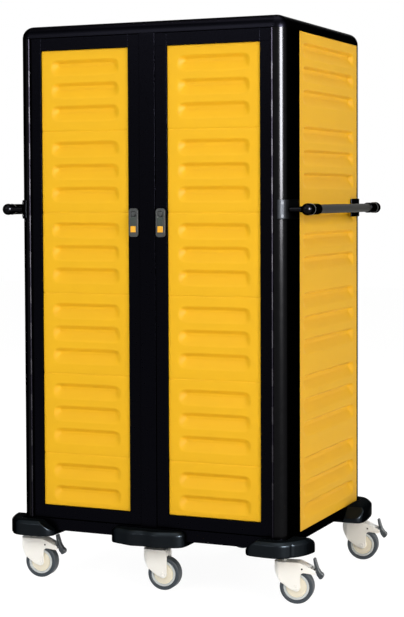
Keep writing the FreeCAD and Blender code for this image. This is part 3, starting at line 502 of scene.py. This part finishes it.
def rib_tile(width, depth, brow, sizes):
    """One pressed rib in the flat strip round it."""
    half = sizes.rib_height / 2
    brim = half + sizes.rib_lip
    end = sizes.rib_end - sizes.rib_lip
    columns = (0, end, end + sizes.rib_turn, width - end - sizes.rib_turn, width - end, width)
    rows = (-sizes.rib_pitch / 2, -brim, brim, sizes.rib_pitch / 2)
    across, up = len(columns) - 1, len(rows) - 1
    upright = (math.pi / 2, 0, 0)
    only()
    bpy.ops.mesh.primitive_grid_add(x_subdivisions=across, y_subdivisions=up, size=1, rotation=upright)
    tile = bpy.context.active_object
    bpy.ops.object.transform_apply(location=True, rotation=True, scale=True)
    for vert in tile.data.vertices:
        column = round((vert.co.x + 0.5) * across)
        row = round((vert.co.z + 0.5) * up)
        vert.co = (columns[column], 0, rows[row])

    def in_mouth(face):
        centre = face.calc_center_median()
        return abs(centre.z) < brim / 2 and end < centre.x < width - end

    bpy.ops.object.mode_set(mode="EDIT")
    pick(tile, "FACE", in_mouth)
    bpy.ops.mesh.inset(thickness=sizes.rib_lip)
    bpy.ops.mesh.inset(thickness=sizes.rib_slope)
    floor_half = (sizes.rib_height - brow - sizes.rib_floor) / 2
    lift = sizes.rib_floor + floor_half - half
    squash = floor_half / (half - sizes.rib_slope)
    bpy.ops.transform.resize(value=(1, 1, squash), center_override=(width / 2, 0, 0))
    bpy.ops.transform.translate(value=(0, depth, lift))
    bpy.ops.mesh.inset(thickness=RIB_HEEL)
    bpy.ops.object.mode_set(mode="OBJECT")
    return tile


def stacked(obj, count, drop):
    """Repeats obj downwards, each copy joined to the one above."""
    modify(
        obj,
        "ARRAY",
        count=count,
        use_relative_offset=False,
        use_constant_offset=True,
        constant_offset_displace=(0, 0, -drop),
        use_merge_vertices=True,
        merge_threshold=MODULE_WELD,
    )


def ribbed_panel(width, height, thickness, door, sizes):
    """A moulded panel: modules of three ribs, cut off at its foot and closed behind."""
    if door:
        panel = rib_tile(width, sizes.door_rib_depth, sizes.door_rib_brow, sizes)
    else:
        panel = rib_tile(width, sizes.rib_depth, sizes.rib_brow, sizes)
    stacked(panel, RIBS, sizes.rib_pitch)
    top = sizes.rib_pitch / 2
    foot = top - RIBS * sizes.rib_pitch
    strip = (sizes.module - RIBS * sizes.rib_pitch) / 2
    bpy.ops.object.mode_set(mode="EDIT")
    for level, way in ((top, 1), (foot, -1)):
        pick(panel, "EDGE", at_level(level))
        bpy.ops.mesh.extrude_region()
        bpy.ops.transform.translate(value=(0, 0, way * strip))
    bpy.ops.object.mode_set(mode="OBJECT")
    modules = math.ceil(height / sizes.module - SLIVER)
    stacked(panel, modules, sizes.module)
    only(panel)
    bpy.ops.object.mode_set(mode="EDIT")
    bpy.ops.mesh.select_all(action="SELECT")
    bpy.ops.transform.translate(value=(0, 0, height - top - strip))
    if modules * sizes.module - height > SLIVER:
        bpy.ops.mesh.bisect(plane_co=(0, 0, 0), plane_no=(0, 0, 1), clear_inner=True)
    if door:
        for step in range(1, modules):
            level = height - step * sizes.module
            pick(panel, "EDGE", at_level(level))
            bpy.ops.mesh.bevel(offset=sizes.seam, segments=2)
            pick(panel, "VERT", lambda vert, z=level: abs(vert.co.z - z) < NEAR)
            bpy.ops.transform.translate(value=(0, sizes.seam_depth, 0))
    bpy.ops.object.mode_set(mode="OBJECT")
    modify(panel, "SUBSURF", levels=2, render_levels=2, boundary_smooth="PRESERVE_CORNERS")
    only(panel)
    bpy.ops.object.mode_set(mode="EDIT")
    pick(panel, "EDGE", lambda edge: edge.is_boundary)
    bpy.ops.mesh.extrude_region()
    bpy.ops.transform.translate(value=(0, thickness, 0))
    bpy.ops.transform.resize(value=(1, 0, 1), center_override=(0, thickness, 0))
    bpy.ops.mesh.edge_face_add()
    bpy.ops.mesh.select_all(action="SELECT")
    bpy.ops.mesh.normals_make_consistent(inside=False)
    bpy.ops.object.mode_set(mode="OBJECT")
    rounded(panel, sizes.panel_edge, segments=3, degrees=70, use_clamp_overlap=False)
    smooth_below(panel, degrees=50)
    return panel


class CART_OT_door_panels(bpy.types.Operator):
    """Models the ribbed yellow panels of the two doors"""

    bl_idname = "cart.door_panels"
    bl_label = "Door panels"

    def execute(self, context):
        low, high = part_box("door_right_panel")
        sizes = context.scene.cart_sizes
        panel = ribbed_panel(high[0] - low[0], high[2] - low[2], high[1] - low[1], True, sizes)
        for side in SIDES:
            node = f"door_{side}_panel"
            piece = copy_at(panel, 0, Vector(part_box(node)[0]))
            settle(piece, "ribbed_door_" + side, "panel", "door_" + side, "panel_yellow", node)
        bpy.data.objects.remove(panel)
        return {"FINISHED"}


class CART_OT_wall_panels(bpy.types.Operator):
    """Models the ribbed yellow panels of the two sides and of the rear"""

    bl_idname = "cart.wall_panels"
    bl_label = "Wall panels"

    def execute(self, context):
        sizes = context.scene.cart_sizes
        low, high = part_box("side_panel_right")
        panel = ribbed_panel(high[1] - low[1], high[2] - low[2], high[0] - low[0], False, sizes)
        right = copy_at(panel, math.pi / 2, Vector((high[0], low[1], low[2])))
        settle(right, "ribbed_side_right", "panel", "cart", "panel_yellow", "side_panel_right")
        low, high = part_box("side_panel_left")
        left = copy_at(panel, -math.pi / 2, Vector((low[0], high[1], low[2])))
        settle(left, "ribbed_side_left", "panel", "cart", "panel_yellow", "side_panel_left")
        bpy.data.objects.remove(panel)
        low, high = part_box("rear_panels")
        leaf = (high[0] - low[0] - sizes.rear_gap) / 2
        panel = ribbed_panel(leaf, high[2] - low[2], high[1] - low[1], False, sizes)
        first = copy_at(panel, math.pi, Vector((low[0] + leaf, high[1], low[2])))
        second = copy_at(panel, math.pi, Vector((high[0], high[1], low[2])))
        settle(joined(first, second), "ribbed_rear", "panel", "cart", "panel_yellow", "rear_panels")
        bpy.data.objects.remove(panel)
        return {"FINISHED"}


class CART_OT_bumpers(bpy.types.Operator):
    """Rounds the bumper pads as they come out of the mould and draws in the tips of the corner ones"""

    bl_idname = "cart.bumpers"
    bl_label = "Bumpers"

    def execute(self, context):
        sizes = context.scene.cart_sizes
        recast("middle_bumpers", "moulded_middle_bumpers", "bumper", "cart", "bumper")
        low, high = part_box("front_mullion")
        centre = (low[0] + high[0]) / 2
        pads = merged_copy("corner_bumpers")
        tip = min(abs(vert.co.x - centre) for vert in pads.data.vertices)
        root = tip + sizes.lobe_root
        shrink = 1 - sizes.lobe_cut / sizes.lobe_root
        bpy.ops.object.mode_set(mode="EDIT")
        for side in (-1, 1):
            pick(pads, "VERT", lambda vert, s=side: 0 < (vert.co.x - centre) * s < root)
            bpy.ops.transform.resize(value=(shrink, 1, 1), center_override=(centre + side * root, 0, 0))
        bpy.ops.object.mode_set(mode="OBJECT")
        settle(cast(pads, "bumper"), "moulded_corner_bumpers", "bumper", "cart", "bumper", "corner_bumpers")
        return {"FINISHED"}


# wheels, forks and handles: fine details, in metres
WHEEL_SIDES, HEAD_SIDES, HOLE_SHADE_SIDES, BAND_SIDES = 72, 32, 20, 40
ENDWISE = 0.9  # a face whose normal has this much of Y is an end
HUB_FIT = 0.00005  # gap between hub and tyre
HUB_INSET = 0.001  # how much narrower than the tyre the hub is
STEP_WIDTH = 0.0012  # width of each step between two surfaces of a wheel
STEP_DEPTH = 0.0024  # depth of the dark step between ring and disc
GROOVE_LIP = 0.0013  # slope from the tyre's groove to its inner edge
BOSS_FLANK, BOSS_RISE = 0.0035, 0.0022  # width and height of the slope round the axle's boss
HEAD_THICKNESS, HEAD_OUT = 0.0016, 0.0006  # an axle's head, and how far its middle stands off the cheek
HEAD_SLOPE, HEAD_RISE = 0.0022, 0.0007  # width and height of the slope round that head
HOLE_SHADE_THICKNESS = 0.0006  # the dark plug: painted shade, standing in for the shade inside a stop hole
FINE_EDGE = 0.0004  # rounding or slope at the edge of the smallest pieces
SLEEVE_BORE = 0.0137  # radius inside the pale ring, just clear of the bar


def ringed_cylinder(radius, depth, sides):
    """A cylinder lying along Y about the origin, in edit mode with its two ends selected."""
    lying = (math.pi / 2, 0, 0)
    only()
    bpy.ops.mesh.primitive_cylinder_add(vertices=sides, radius=radius, depth=depth, rotation=lying)
    wheel = bpy.context.active_object
    bpy.ops.object.transform_apply(location=True, rotation=True, scale=True)
    bpy.ops.object.mode_set(mode="EDIT")
    pick(wheel, "FACE", lambda face: abs(face.normal.y) > ENDWISE)
    return wheel


def step_in(thickness, depth=0.0):
    """Insets each selected end by the thickness, and pushes it in or out."""
    bpy.ops.mesh.inset(thickness=thickness, depth=depth, use_individual=True)


def pierced(wheel):
    """Opens the two selected end faces into each other, as a bore."""
    bpy.ops.mesh.bridge_edge_loops()
    bpy.ops.mesh.select_all(action="SELECT")
    bpy.ops.mesh.normals_make_consistent(inside=False)
    bpy.ops.object.mode_set(mode="OBJECT")
    return wheel


def make_tyre(sizes):
    """Tread with rounded shoulders and a fine groove beside the ring."""
    tyre = ringed_cylinder(sizes.tyre_radius, sizes.tyre_width, WHEEL_SIDES)
    step_in(sizes.tyre_radius - sizes.ring_radius - (STEP_WIDTH + GROOVE_LIP))
    step_in(STEP_WIDTH, -STEP_WIDTH)
    step_in(GROOVE_LIP, STEP_WIDTH / 2)
    tyre = pierced(tyre)
    rounded(tyre, sizes.tyre_shoulder, segments=5, degrees=80)
    smooth_below(tyre, degrees=40)
    return tyre


def make_hub(sizes):
    """Pale ring, dark step, cream disc and the boss round the axle."""
    hub = ringed_cylinder(sizes.ring_radius - HUB_FIT, sizes.tyre_width - HUB_INSET, WHEEL_SIDES)
    step_in(STEP_WIDTH, STEP_WIDTH / 2)
    step_in(sizes.ring_width - 2 * STEP_WIDTH)
    step_in(STEP_WIDTH, -STEP_DEPTH)
    step_in(sizes.ring_radius - sizes.ring_width - sizes.disc_radius - STEP_WIDTH / 4, -STEP_WIDTH)
    step_in(STEP_WIDTH, STEP_DEPTH)
    step_in(sizes.disc_radius - STEP_WIDTH - sizes.boss_radius - BOSS_FLANK)
    step_in(BOSS_FLANK, BOSS_RISE)
    step_in(sizes.boss_radius - sizes.axle_hole)
    hub = pierced(hub)
    smooth_below(hub, degrees=28)
    edge = sizes.ring_radius - sizes.ring_width - STEP_WIDTH / 2
    hub.data.materials.clear()
    for finish in ("disc", "ring"):
        hub.data.materials.append(materials[finish])
    for face in hub.data.polygons:
        face.material_index = 1 if math.hypot(face.center.x, face.center.z) > edge else 0
    return hub


def joint_named(name):
    """The frame's joint of this name."""
    return next(joint for joint in frame["joints"] if joint["name"] == name)


def wheel_place(caster):
    """Turn and centre of a caster's wheel, from its axle's joint."""
    joint = joint_named(f"wheel_{caster}_roll")
    axis = joint["axis"]
    return math.atan2(-axis[0], axis[1]), Vector(joint["pos_m"])


def swing_direction(caster):
    """Level direction in which a caster's wheel trails its stem."""
    stem = Vector(joint_named(f"swivel_{caster}_turn")["pos_m"])
    along = wheel_place(caster)[1] - stem
    return Vector((along.x, along.y, 0)).normalized()


class CART_OT_wheels(bpy.types.Operator):
    """Models the tyres and hubs of the six wheels"""

    bl_idname = "cart.wheels"
    bl_label = "Wheels"

    def execute(self, context):
        sizes = context.scene.cart_sizes
        tyre = make_tyre(sizes)
        hub = make_hub(sizes)
        for caster in CASTERS:
            turn, centre = wheel_place(caster)
            body, node = "wheel_" + caster, "caster_" + caster
            tread = copy_at(tyre, turn, centre)
            settle(tread, "tread_" + caster, "tyre", body, "tyre_slate", node + "_tyre")
            middle = copy_at(hub, turn, centre)
            settle(middle, "wheel_centre_" + caster, None, body, "hub_cream", node + "_hub")
        bpy.data.objects.remove(tyre)
        bpy.data.objects.remove(hub)
        return {"FINISHED"}


class CART_OT_forks(bpy.types.Operator):
    """Rounds the caster forks and adds the axles' heads, and dark discs of painted shade that stand in for
    the stop holes of the braked ones
    """

    bl_idname = "cart.forks"
    bl_label = "Caster forks"

    def execute(self, context):
        sizes = context.scene.cart_sizes
        head = ringed_cylinder(sizes.axle_head, HEAD_THICKNESS, HEAD_SIDES)
        step_in(HEAD_SLOPE, HEAD_RISE)
        step_in(STEP_WIDTH, -STEP_WIDTH / 2)
        bpy.ops.object.mode_set(mode="OBJECT")
        rounded(head, FINE_EDGE, segments=2, degrees=40)
        smooth_below(head, degrees=40)
        # a thin dark disc: painted shade, standing in for the shade inside each stop hole
        hole_shade = ringed_cylinder(sizes.hole_shade_radius, HOLE_SHADE_THICKNESS, HOLE_SHADE_SIDES)
        step_in(FINE_EDGE, -FINE_EDGE / 2)
        bpy.ops.object.mode_set(mode="OBJECT")
        for caster in CASTERS:
            body = "swivel_" + caster
            recast(f"caster_{caster}_fork", "moulded_fork_" + caster, "shroud", body, "caster_white")
            turn, centre = wheel_place(caster)
            above = centre + swing_direction(caster) * sizes.hole_behind + Vector((0, 0, sizes.hole_above))
            heads, hole_shades = [], []
            for way in (-1, 1):
                out = Matrix.Rotation(turn, 3, "Z") @ Vector((0, way, 0))
                heads.append(copy_at(head, turn, centre + out * (sizes.fork_half + HEAD_OUT)))
                if caster in BRAKED:
                    hole_shades.append(copy_at(hole_shade, turn, above + out * sizes.fork_half))
            settle(joined(*heads), "axle_heads_" + caster, "shroud", body, "caster_white")
            if hole_shades:
                # the discs take the black fitting finish as painted shade
                settle(joined(*hole_shades), "stop_hole_shades_" + caster, "fitting", body, "caster_white")
        bpy.data.objects.remove(head)
        bpy.data.objects.remove(hole_shade)
        return {"FINISHED"}


class CART_OT_pedals(bpy.types.Operator):
    """Rounds the brake pedals"""

    bl_idname = "cart.pedals"
    bl_label = "Brake pedals"

    def execute(self, context):
        for caster in BRAKED:
            node = f"caster_{caster}_pedal"
            recast(node, "moulded_pedal_" + caster, "pedal", "pedal_" + caster, "pedal_grey")
        return {"FINISHED"}


class CART_OT_handles(bpy.types.Operator):
    """Rounds the fittings and clamps of the push handles and adds the pale rings of their sleeves"""

    bl_idname = "cart.handles"
    bl_label = "Push handles"

    def execute(self, context):
        sizes = context.scene.cart_sizes
        recast("handle_fittings", "moulded_fittings", "fitting", "cart", "fitting_black")
        recast("handle_clamps", "cast_clamps", "clamp", "cart", "clamp_black")
        band = ringed_cylinder(sizes.sleeve_radius, sizes.sleeve_seam, BAND_SIDES)
        step_in(sizes.sleeve_radius - SLEEVE_BORE)
        band = pierced(band)
        rounded(band, FINE_EDGE, segments=2, degrees=60)
        smooth_below(band, degrees=40)
        low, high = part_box("handle_tubes")
        level = (low[2] + high[2]) / 2
        bands = []
        for x in (low[0] + sizes.tube_radius, high[0] - sizes.tube_radius):
            for way in (-1, 1):
                bands.append(copy_at(band, 0, Vector((x, way * sizes.seam_at, level))))
        # the rings take the pale seam finish, a painted highlight along each sleeve's seam
        settle(joined(*bands), "sleeve_seams", "seam", "cart", "fitting_black")
        bpy.data.objects.remove(band)
        return {"FINISHED"}


class CART_OT_latches(bpy.types.Operator):
    """Rounds the housings and push buttons of the door latches"""

    bl_idname = "cart.latches"
    bl_label = "Latches"

    def execute(self, context):
        for side in SIDES:
            latch, door, button = "latch_" + side, "door_" + side, "button_" + side
            recast(latch + "_body", "moulded_body_" + side, "latch", door, "latch_grey")
            recast(latch + "_button", "moulded_button_" + side, "button", button, "button_yellow")
        return {"FINISHED"}


# stage
CAMERA_AT = (2.0875, -4.6940, 1.2016)
CAMERA_YAW = 0.4165
CAMERA_PITCH = 0.0406
CAMERA_ROLL = -0.004
CAMERA_LENS = 93.17
CAMERA_SENSOR = 36
CAMERA_SHIFT = -0.0784
FLOOR_SIZE = 30.0
FLOOR_DROP = 0.001  # keeps the floor clear of the wheels
FLOOR_GLOW = 1.12  # makes the floor as white as the background
FLOOR_SHARE = 0.85  # how much of the floor that glow covers, the rest keeping the shadow
WORLD_FILL = 0.28
# place, aim, size, watts and colour of each lamp
LAMPS = {
    "right_softbox": ((3.84, -2.4, 2.1), (0.4, -0.3, 1.5), (1.6, 2.0), 92, (1, 0.9, 0.76)),
    "gloss_strip": ((3.84, -2.4, 1.95), (0.4, -0.3, 1.6), (1.6, 1.5), 1250, (1, 1, 1)),
    "front_softbox": ((-1.6, -5.0, 3.6), (0, -0.3, 0.9), (2.6, 2.2), 112, (1, 1, 1)),
    "top_softbox": ((0.5, -0.6, 4.6), (0, 0, 0.9), (3.0, 3.0), 60, (1, 1, 1)),
    "left_softbox": ((-4.8, 1.2, 2.8), (-0.4, 0, 1.0), (2.4, 2.0), 95, (1, 1, 1)),
    "back_softbox": ((-1.6, 5.0, 3.0), (0, 0.3, 0.9), (2.6, 2.0), 105, (1, 1, 1)),
}


def area_lamp(name, place, aim, size, power, tint):
    """A rectangular softbox turned towards its aim."""
    data = bpy.data.lights.new(name, "AREA")
    data.shape = "RECTANGLE"
    data.size, data.size_y = size
    data.energy = power
    data.color = tint
    lamp = bpy.data.objects.new(name, data)
    lamp.location = place
    lamp.rotation_euler = (Vector(aim) - Vector(place)).to_track_quat("-Z", "Y").to_euler()
    bpy.context.scene.collection.objects.link(lamp)
    return lamp


def backdrop_share(tree):
    """1 for rays that should see the plain background: from the camera, a gloss or a clear piece."""
    ray = add_node(tree, "ShaderNodeLightPath").outputs
    most = {"operation": "MAXIMUM"}
    seen = add_node(tree, "ShaderNodeMath", most, i0=ray["Is Camera Ray"], i1=ray["Is Glossy Ray"])
    seen = add_node(tree, "ShaderNodeMath", most, i0=seen.outputs[0], i1=ray["Is Transmission Ray"])
    return seen.outputs[0]


def floor_material():
    """Pale studio floor that keeps the cart's soft shadow."""
    material, tree = new_material("painted studio floor")
    matt = add_node(tree, "ShaderNodeBsdfDiffuse", Color=(0.9, 0.9, 0.9, 1.0)).outputs[0]
    glow = add_node(tree, "ShaderNodeEmission", Color=WHITE, Strength=FLOOR_GLOW).outputs[0]
    seen = backdrop_share(tree)
    share = add_node(tree, "ShaderNodeMath", {"operation": "MULTIPLY"}, i0=seen, i1=FLOOR_SHARE).outputs[0]
    mix = add_node(tree, "ShaderNodeMixShader", i0=share, i1=matt, i2=glow)
    add_node(tree, "ShaderNodeOutputMaterial", Surface=mix.outputs[0])
    return material


def set_world():
    """A white background that lights the cart only a little."""
    world = bpy.data.worlds.new("studio")
    bpy.context.scene.world = world
    world.use_nodes = True
    tree = world.node_tree
    tree.nodes.clear()
    seen = add_node(tree, "ShaderNodeBackground", Color=WHITE, Strength=1.0).outputs[0]
    fill = add_node(tree, "ShaderNodeBackground", Color=WHITE, Strength=WORLD_FILL).outputs[0]
    mix = add_node(tree, "ShaderNodeMixShader", i0=backdrop_share(tree), i1=fill, i2=seen)
    add_node(tree, "ShaderNodeOutputWorld", Surface=mix.outputs[0])


class CART_OT_stage(bpy.types.Operator):
    """Adds the floor, the lamps and the camera"""

    bl_idname = "cart.stage"
    bl_label = "Studio"

    def execute(self, context):
        bpy.ops.mesh.primitive_plane_add(size=FLOOR_SIZE, location=(0, 0, -FLOOR_DROP))
        floor = context.active_object
        floor.name = "studio_floor"
        floor.data.materials.append(floor_material())
        set_world()
        lamps = {name: area_lamp(name, *values) for name, values in LAMPS.items()}
        # the strip gives only glints, and the lamps behind give only light
        lamps["gloss_strip"].visible_diffuse = False
        for name in ("left_softbox", "back_softbox"):
            lamps[name].visible_glossy = False
        data = bpy.data.cameras.new("photo_camera")
        data.lens = CAMERA_LENS
        data.sensor_width = CAMERA_SENSOR
        data.shift_y = CAMERA_SHIFT
        camera = bpy.data.objects.new("photo_camera", data)
        upright = Matrix.Rotation(CAMERA_YAW, 4, "Z") @ Matrix.Rotation(math.pi / 2 - CAMERA_PITCH, 4, "X")
        camera.matrix_world = Matrix.Translation(CAMERA_AT) @ upright @ Matrix.Rotation(CAMERA_ROLL, 4, "Z")
        context.scene.collection.objects.link(camera)
        context.scene.camera = camera
        context.scene.view_settings.view_transform = "Standard"
        return {"FINISHED"}


class CART_PT_panel(bpy.types.Panel):
    """Lists the cart's colours, sizes and operators"""

    bl_label = "Tray cart"
    bl_idname = "CART_PT_panel"
    bl_space_type = "VIEW_3D"
    bl_region_type = "UI"
    bl_category = "Tray cart"

    def draw(self, context):
        scene = context.scene
        for group, owner in ((CartColours, scene.cart_colours), (CartSizes, scene.cart_sizes)):
            for name in group.__annotations__:
                self.layout.prop(owner, name)
        for operator in OPERATORS:
            self.layout.operator(operator.bl_idname)


OPERATORS = (
    CART_OT_finishes,
    CART_OT_door_panels,
    CART_OT_wall_panels,
    CART_OT_bumpers,
    CART_OT_wheels,
    CART_OT_forks,
    CART_OT_pedals,
    CART_OT_handles,
    CART_OT_latches,
    CART_OT_stage,
)
CLASSES = (CartColours, CartSizes, *OPERATORS, CART_PT_panel)


def register():
    for cls in CLASSES:
        bpy.utils.register_class(cls)
    bpy.types.Scene.cart_colours = PointerProperty(type=CartColours)
    bpy.types.Scene.cart_sizes = PointerProperty(type=CartSizes)


def unregister():
    del bpy.types.Scene.cart_sizes
    del bpy.types.Scene.cart_colours
    for cls in reversed(CLASSES):
        bpy.utils.unregister_class(cls)


def main():
    register()
    bpy.ops.cart.finishes()
    bpy.ops.cart.door_panels()
    bpy.ops.cart.wall_panels()
    bpy.ops.cart.bumpers()
    bpy.ops.cart.wheels()
    bpy.ops.cart.forks()
    bpy.ops.cart.pedals()
    bpy.ops.cart.handles()
    bpy.ops.cart.latches()
    bpy.ops.cart.stage()


if __name__ == "__main__":
    main()
